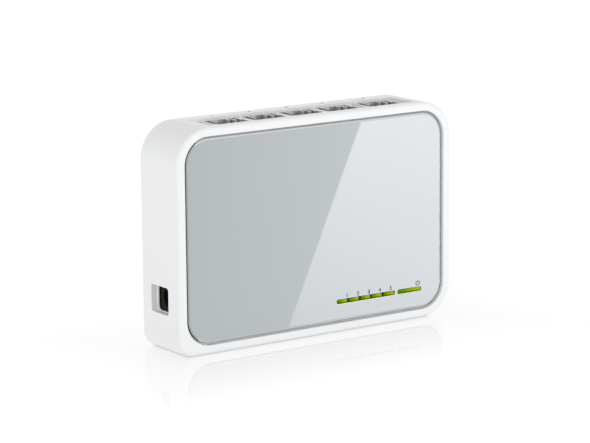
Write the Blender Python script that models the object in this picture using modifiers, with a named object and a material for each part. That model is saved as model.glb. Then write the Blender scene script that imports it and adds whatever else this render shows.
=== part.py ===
"""Desktop network switch with five ports, standing on its long front edge.

Metres, +Z up. X runs along the long side, the face panel looks towards -Y, the port
sockets open upwards and the power socket opens towards -X. The origin is the centre of
the surface that the case stands on.
"""

import math

import bmesh
import bpy
from mathutils import Matrix

MM = 0.001

# Case: outer size, walls and the layers that are stacked from front (-Y) to back (+Y).
CASE_WIDTH = 103.5 * MM
CASE_HEIGHT = 70.0 * MM
CASE_CORNER = 11.2 * MM
HEEL_CORNER = 5.0 * MM
CASE_EDGE = 1.0 * MM
WALL = 2.0 * MM
CASE_FRONT = -11.0 * MM
CASE_BACK = 10.4 * MM
RIM_WIDTH = 2.75 * MM
PANEL_FRONT = -10.3 * MM
PANEL_BACK = -9.4 * MM
WEB_FRONT = -9.1 * MM
WEB_BACK = -8.0 * MM
BOARD_FRONT = 5.3 * MM
BOARD_BACK = 6.9 * MM
COVER_FRONT = 8.0 * MM
COVER_BACK = 10.0 * MM
FOOT_BACK = 11.0 * MM
FIT_GAP = 0.3 * MM
PANEL_GAP = 0.5 * MM
PANEL_SHIFT = 0.18 * MM
MIDDLE = CASE_HEIGHT / 2

# Port bay in the top wall and the five sockets under it.
BAY_LEFT = -37.6 * MM
BAY_RIGHT = 39.6 * MM
BAY_FRONT = -7.8 * MM
BAY_BACK = 4.9 * MM
BAY_CORNER = 0.6 * MM
BAY_FLOOR_TOP = 67.7 * MM
BAY_FLOOR = 1.1 * MM
PORT_PITCH = 13.97 * MM
FIRST_PORT = -26.3 * MM
LAST_PORT = 31.6 * MM
PORTS = [FIRST_PORT + PORT_PITCH * i for i in range(4)] + [LAST_PORT]
JACK_MOUTH = 69.1 * MM
JACK_DEPTH = 17.0 * MM
JACK_FRONT = -7.5 * MM
JACK_BACK = BAY_BACK - FIT_GAP
JACK_SIDE = 0.98 * MM
SOCKET_WIDTH = 11.9 * MM
SOCKET_FRONT = -6.0 * MM
SOCKET_BACK = 0.6 * MM
SOCKET_DEPTH = 15.2 * MM
LATCH_STEPS = ((6.2 * MM, 2.1 * MM), (3.4 * MM, 3.6 * MM))
POCKET_WIDTH = 9.2 * MM
POCKET_FRONT = -6.95 * MM
POCKET_DEPTH = 14.0 * MM
LIP_DEPTH = 0.9 * MM

# Sprung contacts: eight wires on one bar, which turns on the bar's axis.
WIRES = 8
WIRE_PITCH = 1.02 * MM
WIRE_WIDTH = 0.45 * MM
WIRE_THICKNESS = 0.35 * MM
WIRE_LENGTH = 9.3 * MM
CONTACT_BAR = 0.6 * MM
CONTACT_TILT = math.radians(13.5)
CONTACT_Y = -6.35 * MM
CONTACT_Z = JACK_MOUTH - 1.8 * MM

# Light slots in the panel, with the light guides and diodes behind them.
SLOT_Z = 9.55 * MM
SLOT_HEIGHT = 1.5 * MM
LINK_EDGES = [7.05 * MM, 11.65 * MM, 16.15 * MM, 20.55 * MM, 25.15 * MM, 30.15 * MM]
POWER_EDGES = [30.95 * MM, 40.75 * MM]
LENS_GAP = 0.12 * MM
LENS_DIVIDER = 0.5 * MM
GUIDE_FRONT = -10.25 * MM
GUIDE_BACK = 3.9 * MM
HOLDER_LOW = (5.2 * MM, -7.7 * MM, 7.7 * MM)
HOLDER_HIGH = (41.7 * MM, 1.0 * MM, 11.7 * MM)
WINDOW_MARGIN = 0.9 * MM
DIODE_SIZE = (2.0 * MM, 0.8 * MM, 1.25 * MM)
GUIDE_CLEARANCE = 0.1 * MM

# Power socket at the left end.
POWER_Y = 0.2 * MM
POWER_Z = 16.5 * MM
POWER_OPENING = (9.7 * MM, 8.5 * MM)
POWER_OPENING_CORNER = 1.0 * MM
POWER_OPENING_DEPTH = 2.1 * MM
POWER_LIP = (8.3 * MM, 8.0 * MM)
POWER_LIP_CORNER = 1.4 * MM
POWER_PAD = 13.0 * MM
POWER_PAD_BACK = -49.2 * MM
POWER_LOW = (-48.9 * MM, -5.3 * MM, 12.0 * MM)
POWER_HIGH = (-35.4 * MM, 5.0 * MM, 21.0 * MM)
POWER_BORE = 3.1 * MM
POWER_BORE_DEPTH = 9.5 * MM
POWER_PIN = 1.0 * MM
POWER_PIN_FRONT = -47.4 * MM
POWER_PIN_BACK = -34.9 * MM
LEAF_HINGE = (-38.3 * MM, 12.75 * MM)
LEAF_WIDTH = 2.4 * MM
LEAF_THICKNESS = 0.35 * MM
LEAF_LINE = ((0.0, 0.0), (-6.2 * MM, 0.9 * MM), (-8.0 * MM, 0.3 * MM))

# Bosses, posts, screws and feet, as places in X and Z.
SCREWS = [(-44.5 * MM, MIDDLE), (44.5 * MM, MIDDLE)]
POSTS = [(x * MM, z * MM) for x in (-44.5, 44.5) for z in (8.5, 61.0)]
FEET = [(x * MM, z * MM) for x in (-41.0, 41.0) for z in (12.0, 58.0)]
BOSS_RADIUS = 3.5 * MM
BOSS_NECK = 2.3 * MM
POST_RADIUS = 2.5 * MM
POST_NECK = 1.5 * MM
PILOT_RADIUS = 1.3 * MM
PILOT_DEPTH = 10.0 * MM
SHANK_RADIUS = 1.0 * MM
SHANK_LENGTH = 9.5 * MM
HEAD_RADIUS = 2.6 * MM
HEAD_FLOOR = 8.9 * MM
FOOT_RADIUS = 4.5 * MM
FOOT_FLOOR = 9.1 * MM
FOOT_CHAMFER = 0.4 * MM

# Board and what stands on it.
BOARD_HALF_WIDTH = 48.5 * MM
BOARD_BOTTOM = 3.5 * MM
BOARD_TOP = 66.0 * MM
BOARD_CORNER = 7.5 * MM
PART_BACK = BOARD_FRONT - FIT_GAP
LEAD_THICKNESS = 0.25 * MM
LEAD_LIFT = 0.12 * MM
LEAD_INSET = 1.0 * MM
CHIP_PLACE = (-8.0 * MM, 27.0 * MM)
CHIP_SIZE = 14.0 * MM
CHIP_TALL = 1.4 * MM
CHIP_LEADS = 12
CHIP_LEAD_WIDTH = 0.4 * MM
CHIP_LEAD_PITCH = 1.0 * MM
CHIP_LEAD_LENGTH = 1.4 * MM
TRANSFORMER_Z = 42.5 * MM
TRANSFORMER_SIZE = (9.0 * MM, 5.5 * MM)
TRANSFORMER_LEAD_WIDTH = 0.6 * MM
TRANSFORMER_LEAD_PITCH = 1.8 * MM
TRANSFORMER_LEAD_LENGTH = 2.0 * MM
TRANSFORMERS = {
    "port_transformer_1_2": ((PORTS[0] + PORTS[1]) / 2, 18.0 * MM),
    "port_transformer_3_4": ((PORTS[2] + PORTS[3]) / 2, 18.0 * MM),
    "port_transformer_5": (PORTS[4], 12.7 * MM),
}
CRYSTAL_PLACE = (12.0 * MM, 27.0 * MM)
CRYSTAL_SIZE = (11.0 * MM, 4.4 * MM)
CRYSTAL_CORNER = 2.1 * MM
CRYSTAL_TALL = 3.5 * MM
CAPACITORS = [(-27.0 * MM, 12.0 * MM), (-19.0 * MM, 12.0 * MM)]
CAPACITOR_RADIUS = 3.15 * MM
CAPACITOR_TALL = 7.0 * MM
CAPACITOR_EDGE = 0.4 * MM
INDUCTOR_PLACE = (-28.0 * MM, 22.5 * MM)
INDUCTOR_SIZE = (6.0 * MM, 6.0 * MM, 3.0 * MM)
REGULATOR_PLACE = (-28.0 * MM, 31.0 * MM)
REGULATOR_SIZE = (6.5 * MM, 3.5 * MM, 1.6 * MM)
REGULATOR_LEADS = 3
REGULATOR_LEAD_WIDTH = 0.7 * MM
REGULATOR_LEAD_PITCH = 2.0 * MM
REGULATOR_LEAD_LENGTH = 1.5 * MM

# Cover details.
VENTS = 9
VENT_PITCH = 5.0 * MM
VENT_SIZE = (2.0 * MM, 20.0 * MM)
VENT_Z = 49.0 * MM
LABEL_SIZE = (46.0 * MM, 20.0 * MM)
LABEL_Z = 22.0 * MM
LABEL_FLOOR = 9.4 * MM

CORNER_STEPS = 8
SMALL_STEPS = 3
BEYOND = 5 * MM


# Outlines: lists of points in a plane, counter-clockwise.


def rounded(width, height, radius, centre=(0.0, 0.0), steps=CORNER_STEPS):
    """A rectangle with round corners: one radius, or four, from the upper right counter-clockwise."""
    radii = radius if isinstance(radius, tuple) else (radius,) * 4
    points = []
    for corner, (side, end) in enumerate(((1, 1), (-1, 1), (-1, -1), (1, -1))):
        turn_radius = radii[corner]
        for step in range(steps + 1):
            turn = math.radians(90) * (corner + step / steps)
            u = side * (width / 2 - turn_radius) + turn_radius * math.cos(turn)
            v = end * (height / 2 - turn_radius) + turn_radius * math.sin(turn)
            points.append((centre[0] + u, centre[1] + v))
    return points


def case_outline(margin, heel=HEEL_CORNER, shift=0.0):
    """The case's outline drawn in by a margin; the corner under the power socket is the tight one."""
    corner = CASE_CORNER - margin
    radii = (corner, corner, heel - margin, corner)
    return rounded(CASE_WIDTH - 2 * margin, CASE_HEIGHT - 2 * margin, radii, (shift, MIDDLE))


def rectangle(low, high):
    return [(low[0], low[1]), (high[0], low[1]), (high[0], high[1]), (low[0], high[1])]


def circle(centre, radius, steps=20):
    turns = [2 * math.pi * step / steps for step in range(steps)]
    return [(centre[0] + radius * math.cos(t), centre[1] + radius * math.sin(t)) for t in turns]


def bar_with_ends(low, high, centre_v, height, round_low, round_high, steps=6):
    """A flat bar whose ends are half round or square."""
    radius = height / 2
    points = []
    for end, is_round, side in ((high, round_high, 1), (low, round_low, -1)):
        if not is_round:
            points += [(end, centre_v - side * radius), (end, centre_v + side * radius)]
            continue
        for step in range(steps + 1):
            turn = math.radians(180 * step / steps - 90)
            u = end + side * (radius * math.cos(turn) - radius)
            points.append((u, centre_v + side * radius * math.sin(turn)))
    return points


def toothed(width, height, count, tooth, pitch, length, sides=1):
    """A bar, centred at the origin, with teeth along its lower edge or along both long edges."""
    half = width / 2
    starts = [pitch * (i - (count - 1) / 2) - tooth / 2 for i in range(count)]
    edge = [(-half, -height / 2)]
    for start in starts:
        edge += [(start, -height / 2), (start, -height / 2 - length)]
        edge += [(start + tooth, -height / 2 - length), (start + tooth, -height / 2)]
    edge.append((half, -height / 2))
    if sides == 1:
        return edge + [(half, height / 2), (-half, height / 2)]
    return edge + [(-u, -v) for u, v in edge]


# Scene, materials and solids.


def clear_scene():
    for obj in list(bpy.data.objects):
        bpy.data.objects.remove(obj, do_unlink=True)


def new_collection(name):
    collection = bpy.data.collections.new(name)
    bpy.context.scene.collection.children.link(collection)
    return collection


def material(name, colour, roughness, metallic=0.0):
    made = bpy.data.materials.new(name)
    made.use_nodes = True
    shader = made.node_tree.nodes["Principled BSDF"]
    shader.inputs["Base Color"].default_value = (*colour, 1.0)
    shader.inputs["Roughness"].default_value = roughness
    shader.inputs["Metallic"].default_value = metallic
    return made


clear_scene()
PARTS = new_collection("network_switch")
CUTTERS = new_collection("cutters")

WHITE_PLASTIC = material("white_plastic", (0.86, 0.87, 0.87), 0.4)
PANEL_PLASTIC = material("panel_grey", (0.52, 0.55, 0.57), 0.15)
LENS_PLASTIC = material("lens_green", (0.45, 0.60, 0.08), 0.2)
JACK_PLASTIC = material("jack_grey", (0.66, 0.67, 0.67), 0.5)
BLACK_PLASTIC = material("black_plastic", (0.02, 0.02, 0.02), 0.45)
BOARD_GREEN = material("board_green", (0.02, 0.16, 0.07), 0.5)
RUBBER = material("rubber", (0.12, 0.12, 0.12), 0.8)
LABEL_PAPER = material("label_paper", (0.75, 0.76, 0.76), 0.6)
SPRING_METAL = material("spring_metal", (0.80, 0.62, 0.30), 0.25, 1.0)
STEEL = material("steel", (0.62, 0.62, 0.62), 0.3, 1.0)
DIODE_PLASTIC = material("diode_clear", (0.75, 0.80, 0.45), 0.3)


def add_mesh(name, mesh, surface):
    obj = bpy.data.objects.new(name, mesh)
    if surface is None:
        obj.hide_render = True
        obj.display_type = "WIRE"
        CUTTERS.objects.link(obj)
    else:
        mesh.materials.append(surface)
        PARTS.objects.link(obj)
    return obj


# Each turns an outline's plane and extrusion into world axes.
PLANES = {
    "x": Matrix(((0, 0, 1), (1, 0, 0), (0, 1, 0))).to_4x4(),
    "y": Matrix(((1, 0, 0), (0, 0, -1), (0, 1, 0))).to_4x4(),
    "z": Matrix.Identity(4),
}
AXIS_NUMBER = {"x": 0, "y": 1, "z": 2}


def plate(name, outlines, axis, low, high, surface=None):
    """Flat outlines extruded along an axis, as one mesh; an outline inside another is a hole."""
    curve = bpy.data.curves.new(name, "CURVE")
    curve.dimensions = "2D"
    curve.fill_mode = "BOTH"
    curve.extrude = (high - low) / 2
    for outline in outlines:
        spline = curve.splines.new("POLY")
        spline.points.add(len(outline) - 1)
        for point, place in zip(spline.points, outline):
            point.co = (*place, 0.0, 1.0)
        spline.use_cyclic_u = True
    guide = bpy.data.objects.new(name + "_curve", curve)
    bpy.context.scene.collection.objects.link(guide)
    bpy.context.view_layer.update()
    graph = bpy.context.evaluated_depsgraph_get()
    mesh = bpy.data.meshes.new_from_object(guide.evaluated_get(graph))
    bpy.data.objects.remove(guide, do_unlink=True)
    middle = [0.0, 0.0, 0.0]
    middle[AXIS_NUMBER[axis]] = (low + high) / 2
    mesh.transform(Matrix.Translation(middle) @ PLANES[axis])
    solid = bmesh.new()
    solid.from_mesh(mesh)
    bmesh.ops.remove_doubles(solid, verts=solid.verts, dist=0.001 * MM)
    bmesh.ops.recalc_face_normals(solid, faces=solid.faces)
    solid.to_mesh(mesh)
    solid.free()
    mesh.materials.clear()
    return add_mesh(name, mesh, surface)


def block(name, low, high, surface=None):
    """A box between two opposite corners."""
    solid = bmesh.new()
    bmesh.ops.create_cube(solid, size=1.0)
    size = [b - a for a, b in zip(low, high)]
    centre = [(a + b) / 2 for a, b in zip(low, high)]
    bmesh.ops.scale(solid, vec=size, verts=solid.verts)
    bmesh.ops.translate(solid, vec=centre, verts=solid.verts)
    mesh = bpy.data.meshes.new(name)
    solid.to_mesh(mesh)
    solid.free()
    return add_mesh(name, mesh, surface)


def turned(name, profile, place, axis, surface=None, steps=20):
    """A profile of (radius, height) points turned round an axis through a place."""
    mesh = bpy.data.meshes.new(name)
    points = [(radius, 0.0, height) for radius, height in profile]
    mesh.from_pydata(points, [(i, i + 1) for i in range(len(points) - 1)], [])
    obj = add_mesh(name, mesh, surface)
    obj.location = place
    obj.rotation_euler = {
        "y": (math.radians(-90), 0.0, 0.0),
        "x": (0.0, math.radians(90), 0.0),
        "z": (0.0, 0.0, 0.0),
    }[axis]
    screw = obj.modifiers.new("turn", "SCREW")
    screw.steps = steps
    screw.render_steps = steps
    screw.use_merge_vertices = True
    screw.merge_threshold = 0.00001
    return obj


def boolean(target, operation, tool, solver="EXACT"):
    """Cuts the tool from the target or joins it on."""
    change = target.modifiers.new(tool.name, "BOOLEAN")
    change.operation = operation
    change.solver = solver
    change.object = tool


def round_edges(target, width, segments):
    bevel = target.modifiers.new("edges", "BEVEL")
    bevel.width = width
    bevel.segments = segments
    bevel.limit_method = "ANGLE"
    bevel.angle_limit = math.radians(60)


# The enclosure.


def boss_profile(radius, neck, hole=None):
    """A stepped post from the web to the cover; its shoulder carries the board."""
    bottom = WEB_BACK - FIT_GAP
    shoulder = BOARD_FRONT - FIT_GAP
    top = COVER_FRONT - FIT_GAP
    start = [(0.0, top)]
    if hole:
        start = [(0.0, top - PILOT_DEPTH), (hole, top - PILOT_DEPTH), (hole, top)]
    return start + [(neck, top), (neck, shoulder), (radius, shoulder), (radius, bottom), (0.0, bottom)]


def front_housing():
    case = plate("front_housing", [case_outline(0.0)], "y", CASE_FRONT, CASE_BACK, WHITE_PLASTIC)
    round_edges(case, CASE_EDGE, 3)
    recess = case_outline(RIM_WIDTH, heel=CASE_CORNER)
    boolean(case, "DIFFERENCE", plate("panel_recess", [recess], "y", CASE_FRONT - BEYOND, WEB_FRONT))
    hollow = plate("case_hollow", [case_outline(WALL)], "y", WEB_BACK, CASE_BACK + BEYOND)
    boolean(case, "DIFFERENCE", hollow)
    for i, (x, z) in enumerate(SCREWS):
        profile = boss_profile(BOSS_RADIUS, BOSS_NECK, PILOT_RADIUS)
        boolean(case, "UNION", turned(f"screw_boss_{i + 1}", profile, (x, 0, z), "y"))
    for i, (x, z) in enumerate(POSTS):
        profile = boss_profile(POST_RADIUS, POST_NECK)
        boolean(case, "UNION", turned(f"board_post_{i + 1}", profile, (x, 0, z), "y", steps=12))

    clear = SOCKET_WIDTH / 2 + JACK_SIDE + FIT_GAP
    floors = (
        ("bay_floor_at_start", BAY_LEFT - WALL, PORTS[0] - clear),
        ("bay_floor_between_jacks", PORTS[3] + clear, PORTS[4] - clear),
        ("bay_floor_at_end", PORTS[4] + clear, BAY_RIGHT + WALL),
    )
    for name, left, right in floors:
        low = (left, WEB_BACK - FIT_GAP, BAY_FLOOR_TOP - BAY_FLOOR)
        high = (right, BAY_BACK + WALL / 2, CASE_HEIGHT - WALL / 2)
        boolean(case, "UNION", block(name, low, high))
    bay_size = (BAY_RIGHT - BAY_LEFT, BAY_BACK - BAY_FRONT)
    bay_middle = ((BAY_LEFT + BAY_RIGHT) / 2, (BAY_FRONT + BAY_BACK) / 2)
    bay = rounded(*bay_size, BAY_CORNER, bay_middle, SMALL_STEPS)
    boolean(case, "DIFFERENCE", plate("port_bay", [bay], "z", BAY_FLOOR_TOP, CASE_HEIGHT + BEYOND))

    left = -CASE_WIDTH / 2
    centre = (POWER_Y, POWER_Z)
    pad = rounded(POWER_PAD, POWER_PAD, POWER_OPENING_CORNER, centre, SMALL_STEPS)
    boolean(case, "UNION", plate("power_pad", [pad], "x", left + 0.5 * WALL, POWER_PAD_BACK))
    opening = rounded(*POWER_OPENING, POWER_OPENING_CORNER, centre, SMALL_STEPS)
    mouth = plate("power_opening", [opening], "x", left - BEYOND, left + POWER_OPENING_DEPTH)
    boolean(case, "DIFFERENCE", mouth)
    lip = rounded(*POWER_LIP, POWER_LIP_CORNER, centre, SMALL_STEPS)
    boolean(case, "DIFFERENCE", plate("power_lip", [lip], "x", left, POWER_PAD_BACK + FIT_GAP))
    window = rectangle(
        (LINK_EDGES[0] - WINDOW_MARGIN, SLOT_Z - SLOT_HEIGHT),
        (POWER_EDGES[1] + WINDOW_MARGIN, SLOT_Z + SLOT_HEIGHT),
    )
    hole = plate("light_window", [window], "y", WEB_FRONT - FIT_GAP, WEB_BACK + FIT_GAP)
    boolean(case, "DIFFERENCE", hole)


def face_panel():
    outline = case_outline(RIM_WIDTH + PANEL_GAP, heel=CASE_CORNER, shift=PANEL_SHIFT)
    links = bar_with_ends(LINK_EDGES[0], LINK_EDGES[-1], SLOT_Z, SLOT_HEIGHT, True, True)
    power = bar_with_ends(*POWER_EDGES, SLOT_Z, SLOT_HEIGHT, True, True)
    plate("face_panel", [outline, links, power], "y", PANEL_FRONT, PANEL_BACK, PANEL_PLASTIC)


def back_cover():
    outline = case_outline(WALL + FIT_GAP)
    cover = plate("back_cover", [outline], "y", COVER_FRONT, COVER_BACK, WHITE_PLASTIC)
    before = COVER_FRONT - 1 * MM
    beyond = COVER_BACK + 1 * MM
    width, height = VENT_SIZE
    vents = [
        rounded(width, height, 0.45 * width, (VENT_PITCH * (i - (VENTS - 1) / 2), VENT_Z), SMALL_STEPS)
        for i in range(VENTS)
    ]
    shanks = [circle(place, SHANK_RADIUS + 2 * FIT_GAP, 16) for place in SCREWS]
    heads = [circle(place, HEAD_RADIUS + FIT_GAP) for place in SCREWS]
    pockets = [circle(place, FOOT_RADIUS + FIT_GAP, 24) for place in FEET]
    width, height = (side + 2 * FIT_GAP for side in LABEL_SIZE)
    recess = rounded(width, height, 1 * MM, (0, LABEL_Z), SMALL_STEPS)
    for name, outlines, floor in (
        ("cover_vents", vents, before),
        ("shank_holes", shanks, before),
        ("screw_recesses", heads, HEAD_FLOOR),
        ("foot_pockets", pockets, FOOT_FLOOR),
        ("label_recess", [recess], LABEL_FLOOR),
    ):
        boolean(cover, "DIFFERENCE", plate(name, outlines, "y", floor, beyond))


def rating_label():
    outline = rounded(*LABEL_SIZE, 0.8 * MM, (0, LABEL_Z), SMALL_STEPS)
    plate("rating_label", [outline], "y", LABEL_FLOOR + FIT_GAP, COVER_BACK, LABEL_PAPER)


def feet():
    height = FOOT_BACK - FOOT_FLOOR - FIT_GAP
    profile = [
        (0.0, height),
        (FOOT_RADIUS - FOOT_CHAMFER, height),
        (FOOT_RADIUS, height - FOOT_CHAMFER),
        (FOOT_RADIUS, 0.0),
        (0.0, 0.0),
    ]
    for i, (x, z) in enumerate(FEET):
        turned(f"rubber_foot_{i + 1}", profile, (x, FOOT_BACK - height, z), "y", RUBBER, 24)


def case_screws():
    head = COVER_BACK - HEAD_FLOOR - FIT_GAP
    profile = [
        (0.0, head),
        (0.6 * HEAD_RADIUS, head),
        (HEAD_RADIUS, 0.5 * head),
        (HEAD_RADIUS, 0.0),
        (SHANK_RADIUS, 0.0),
        (SHANK_RADIUS, SHANK_RADIUS - SHANK_LENGTH),
        (0.0, -SHANK_LENGTH),
    ]
    for i, (x, z) in enumerate(SCREWS):
        turned(f"case_screw_{i + 1}", profile, (x, COVER_BACK - head, z), "y", STEEL, 16)


# The sockets.


def socket_outline(x):
    """The mouth of one socket, seen from above: a wide slot with a stepped notch for the latch."""
    right = [(x + SOCKET_WIDTH / 2, SOCKET_FRONT), (x + SOCKET_WIDTH / 2, SOCKET_BACK)]
    floor = SOCKET_BACK
    for width, reach in LATCH_STEPS:
        right += [(x + width / 2, floor), (x + width / 2, reach)]
        floor = reach
    return right + [(2 * x - u, v) for u, v in reversed(right)]


def jack_housing(name, ports):
    """A plastic body with one blind socket for each port and a pocket for its contacts."""
    half = SOCKET_WIDTH / 2 + JACK_SIDE
    low = (ports[0] - half, JACK_FRONT, JACK_MOUTH - JACK_DEPTH)
    body = block(name, low, (ports[-1] + half, JACK_BACK, JACK_MOUTH), JACK_PLASTIC)
    floor = JACK_MOUTH - SOCKET_DEPTH
    mouths = [socket_outline(x) for x in ports]
    boolean(body, "DIFFERENCE", plate(name + "_sockets", mouths, "z", floor, CASE_HEIGHT + BEYOND))
    pockets = [
        rectangle((x - POCKET_WIDTH / 2, POCKET_FRONT), (x + POCKET_WIDTH / 2, SOCKET_FRONT + FIT_GAP))
        for x in ports
    ]
    pocket_low = JACK_MOUTH - POCKET_DEPTH
    pocket_high = JACK_MOUTH - LIP_DEPTH
    boolean(body, "DIFFERENCE", plate(name + "_pockets", pockets, "z", pocket_low, pocket_high))


def port_contacts():
    bar_length = WIRE_PITCH * (WIRES - 1) + 2 * WIRE_WIDTH
    wire = WIRE_LENGTH - CONTACT_BAR / 2
    comb = toothed(bar_length, CONTACT_BAR, WIRES, WIRE_WIDTH, WIRE_PITCH, wire)
    for i, x in enumerate(PORTS):
        half = WIRE_THICKNESS / 2
        contacts = plate(f"port_{i + 1}_contacts", [comb], "y", -half, half, SPRING_METAL)
        contacts.location = (x, CONTACT_Y, CONTACT_Z)
        contacts.rotation_euler = (CONTACT_TILT, 0.0, 0.0)


def power_socket():
    body = block("power_socket", POWER_LOW, POWER_HIGH, BLACK_PLASTIC)
    mouth = POWER_LOW[0]
    bore = circle((POWER_Y, POWER_Z), POWER_BORE, 24)
    boolean(
        body, "DIFFERENCE", plate("power_bore", [bore], "x", mouth - 1 * MM, mouth + POWER_BORE_DEPTH)
    )
    hole = circle((POWER_Y, POWER_Z), POWER_PIN + FIT_GAP, 12)
    boolean(body, "DIFFERENCE", plate("pin_hole", [hole], "x", mouth + 2 * MM, POWER_HIGH[0] + 1 * MM))
    half = LEAF_WIDTH / 2 + FIT_GAP
    slot = rectangle((mouth + 1.9 * MM, POWER_Y - half), (LEAF_HINGE[0] + 2 * FIT_GAP, POWER_Y + half))
    slot_top = POWER_Z - 0.6 * POWER_BORE
    boolean(body, "DIFFERENCE", plate("leaf_slot", [slot], "z", POWER_LOW[2] - 1 * MM, slot_top))


def power_pin():
    length = POWER_PIN_BACK - POWER_PIN_FRONT
    tip = 0.4 * MM
    profile = [
        (0.0, length),
        (POWER_PIN, length),
        (POWER_PIN, tip),
        (POWER_PIN - tip, 0.0),
        (0.0, 0.0),
    ]
    turned("power_pin", profile, (POWER_PIN_FRONT, POWER_Y, POWER_Z), "x", SPRING_METAL, 16)


def power_spring():
    """The leaf that presses on a plug's sleeve; it turns at its inner end."""
    half = LEAF_THICKNESS / 2
    above = [(x, z + half) for x, z in LEAF_LINE]
    below = [(x, z - half) for x, z in LEAF_LINE]
    outline = above + below[::-1]
    leaf = plate("power_spring", [outline], "y", -LEAF_WIDTH / 2, LEAF_WIDTH / 2, SPRING_METAL)
    leaf.location = (LEAF_HINGE[0], POWER_Y, LEAF_HINGE[1])


# The lights.


def light_channels():
    """(name, low x, high x, whether each end is round) for every light guide."""
    half = LENS_DIVIDER / 2
    last = len(LINK_EDGES) - 2
    channels = []
    for i in range(len(LINK_EDGES) - 1):
        low = LINK_EDGES[i] + (LENS_GAP if i == 0 else half)
        high = LINK_EDGES[i + 1] - (LENS_GAP if i == last else half)
        channels.append((f"link_light_guide_{i + 1}", low, high, i == 0, i == last))
    low, high = POWER_EDGES
    channels.append(("power_light_guide", low + LENS_GAP, high - LENS_GAP, True, True))
    return channels


def lights():
    height = SLOT_HEIGHT - 2 * LENS_GAP
    holes = []
    for name, low, high, round_low, round_high in light_channels():
        outline = bar_with_ends(low, high, SLOT_Z, height, round_low, round_high)
        plate(name, [outline], "y", GUIDE_FRONT, GUIDE_BACK, LENS_PLASTIC)
        margin = height / 2 + GUIDE_CLEARANCE
        hole_low = (low - GUIDE_CLEARANCE, SLOT_Z - margin)
        holes.append(rectangle(hole_low, (high + GUIDE_CLEARANCE, SLOT_Z + margin)))
        centre = ((low + high) / 2, GUIDE_BACK + FIT_GAP, SLOT_Z)
        diode = name.replace("guide", "diode")
        corner = (centre[0] - DIODE_SIZE[0] / 2, centre[1], SLOT_Z - DIODE_SIZE[2] / 2)
        opposite = tuple(a + b for a, b in zip(corner, DIODE_SIZE))
        block(diode, corner, opposite, DIODE_PLASTIC)
    frame = rectangle((HOLDER_LOW[0], HOLDER_LOW[2]), (HOLDER_HIGH[0], HOLDER_HIGH[2]))
    plate("light_guide_holder", [frame] + holes, "y", HOLDER_LOW[1], HOLDER_HIGH[1], BLACK_PLASTIC)


# The circuit board and its components, which stand on its front side.


def circuit_board():
    width = 2 * BOARD_HALF_WIDTH
    height = BOARD_TOP - BOARD_BOTTOM
    middle = (0, (BOARD_BOTTOM + BOARD_TOP) / 2)
    outlines = [rounded(width, height, BOARD_CORNER, middle, 5)]
    outlines += [circle(place, BOSS_NECK + FIT_GAP) for place in SCREWS]
    outlines += [circle(place, POST_NECK + FIT_GAP, 16) for place in POSTS]
    plate("circuit_board", outlines, "y", BOARD_FRONT, BOARD_BACK, BOARD_GREEN)


def component(name, place, size, surface, lift=0.0):
    """A box on the board, or held off it by its leads. The size is width, height and how tall it stands."""
    x, z = place
    width, height, tall = size
    back = PART_BACK - lift
    low = (x - width / 2, back - tall, z - height / 2)
    return block(name, low, (x + width / 2, back, z + height / 2), surface)


def leads(name, place, size, count, width, pitch, length, upright=False):
    """Flat leads along two opposite sides, just off the board."""
    outline = toothed(*size, count, width, pitch, length, sides=2)
    if upright:
        outline = [(-v, u) for u, v in outline]
    outline = [(place[0] + u, place[1] + v) for u, v in outline]
    return plate(name, [outline], "y", PART_BACK - LEAD_THICKNESS, PART_BACK)


def switch_chip():
    size = (CHIP_SIZE, CHIP_SIZE, CHIP_TALL)
    chip = component("switch_chip", CHIP_PLACE, size, BLACK_PLASTIC, LEAD_LIFT)
    inner = (CHIP_SIZE - LEAD_INSET, CHIP_SIZE - LEAD_INSET)
    row = (CHIP_LEADS, CHIP_LEAD_WIDTH, CHIP_LEAD_PITCH, CHIP_LEAD_LENGTH)
    for name, upright in (("chip_leads_x", False), ("chip_leads_z", True)):
        boolean(chip, "UNION", leads(name, CHIP_PLACE, inner, *row, upright), "MANIFOLD")


def port_transformers():
    height, tall = TRANSFORMER_SIZE
    for name, (x, width) in TRANSFORMERS.items():
        place = (x, TRANSFORMER_Z)
        body = component(name, place, (width, height, tall), BLACK_PLASTIC, LEAD_LIFT)
        count = round((width - LEAD_INSET) / TRANSFORMER_LEAD_PITCH)
        inner = (width - LEAD_INSET, height - LEAD_INSET)
        row = (count, TRANSFORMER_LEAD_WIDTH, TRANSFORMER_LEAD_PITCH, TRANSFORMER_LEAD_LENGTH)
        boolean(body, "UNION", leads(name + "_leads", place, inner, *row), "MANIFOLD")


def clock_crystal():
    outline = rounded(*CRYSTAL_SIZE, CRYSTAL_CORNER, CRYSTAL_PLACE, 5)
    plate("clock_crystal", [outline], "y", PART_BACK - CRYSTAL_TALL, PART_BACK, STEEL)


def capacitors():
    profile = [
        (0.0, CAPACITOR_TALL),
        (CAPACITOR_RADIUS - CAPACITOR_EDGE, CAPACITOR_TALL),
        (CAPACITOR_RADIUS, CAPACITOR_TALL - CAPACITOR_EDGE),
        (CAPACITOR_RADIUS, 0.0),
        (0.0, 0.0),
    ]
    for i, (x, z) in enumerate(CAPACITORS):
        can = turned(f"capacitor_{i + 1}", profile, (x, PART_BACK, z), "y", STEEL)
        can.rotation_euler = (math.radians(90), 0.0, 0.0)


def power_parts():
    component("power_inductor", INDUCTOR_PLACE, INDUCTOR_SIZE, BLACK_PLASTIC)
    chip = component("power_regulator", REGULATOR_PLACE, REGULATOR_SIZE, BLACK_PLASTIC, LEAD_LIFT)
    inner = (REGULATOR_SIZE[0] - LEAD_INSET, REGULATOR_SIZE[1] - LEAD_INSET)
    row = (REGULATOR_LEADS, REGULATOR_LEAD_WIDTH, REGULATOR_LEAD_PITCH, REGULATOR_LEAD_LENGTH)
    boolean(chip, "UNION", leads("regulator_leads", REGULATOR_PLACE, inner, *row), "MANIFOLD")


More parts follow.
